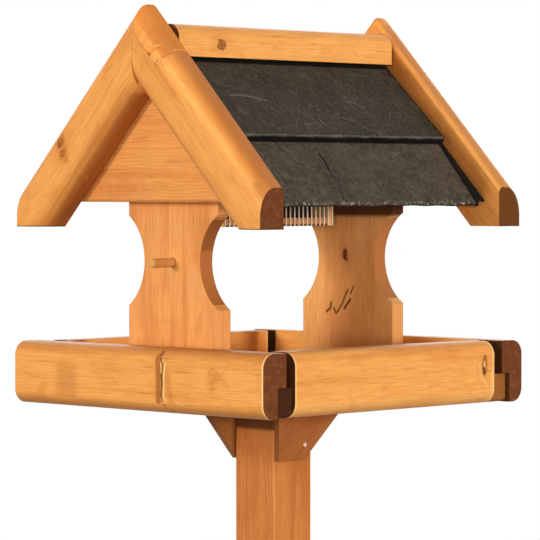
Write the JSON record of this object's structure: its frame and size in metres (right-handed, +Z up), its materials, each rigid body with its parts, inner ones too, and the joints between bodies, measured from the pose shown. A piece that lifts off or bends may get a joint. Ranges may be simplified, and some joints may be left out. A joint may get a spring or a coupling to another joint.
{
  "type": "bird table",
  "caption": "Timber bird table on a tall square post, with a square railed tray, waisted uprights, a slated gable roof and a mesh nut basket",
  "frame": {"origin": "on the ground, under the middle of the post and of the crossed foot", "axes": "+Z up, the ridge runs along Y, the gable with the perch faces -Y"},
  "size_m": [0.62, 0.62, 1.625],
  "materials": {
    "rail_wood": "stained softwood, satin, honey orange",
    "board_wood": "stained softwood board, satin, honey orange",
    "frame_wood": "stained softwood, darker brown",
    "post_wood": "stained softwood, reddish brown",
    "dowel_wood": "plain softwood, light brown",
    "slate": "riven slate, matt dark warm grey",
    "felt": "bitumen roofing felt, black",
    "wire": "galvanised wire",
    "screw": "dulled round screw head"
  },
  "bodies": {
    "root": {"tray_rail_front": "rail_wood", "tray_rail_rear": "rail_wood", "tray_rail_right": "rail_wood", "tray_rail_left": "rail_wood", "floor_bearer_left": "frame_wood", "floor_bearer_right": "frame_wood", "floor_board_1": "board_wood", "floor_board_2": "board_wood", "floor_board_3": "board_wood", "floor_board_4": "board_wood", "upright_front": "board_wood", "upright_rear": "board_wood", "perch": "dowel_wood", "rafter_front_left": "rail_wood", "rafter_front_right": "rail_wood", "gable_board_front": "board_wood", "rafter_rear_left": "rail_wood", "rafter_rear_right": "rail_wood", "gable_board_rear": "board_wood", "ridge_rail": "rail_wood", "roof_board_right": "board_wood", "roof_felt_right": "felt", "slate_lower_right": "slate", "slate_upper_right": "slate", "roof_board_left": "board_wood", "roof_felt_left": "felt", "slate_lower_left": "slate", "slate_upper_left": "slate", "basket_floor": "dowel_wood", "basket_end_front": "dowel_wood", "basket_end_rear": "dowel_wood", "basket_mesh_right": "wire", "basket_mesh_left": "wire", "post": "post_wood", "bracket_right": "frame_wood", "bracket_screw_right": "screw", "bracket_left": "frame_wood", "bracket_screw_left": "screw", "foot_bar_lower": "post_wood", "foot_bar_upper": "post_wood", "foot_brace_right": "post_wood", "foot_brace_rear": "post_wood", "foot_brace_left": "post_wood", "foot_brace_front": "post_wood"}
  },
  "joints": []
}
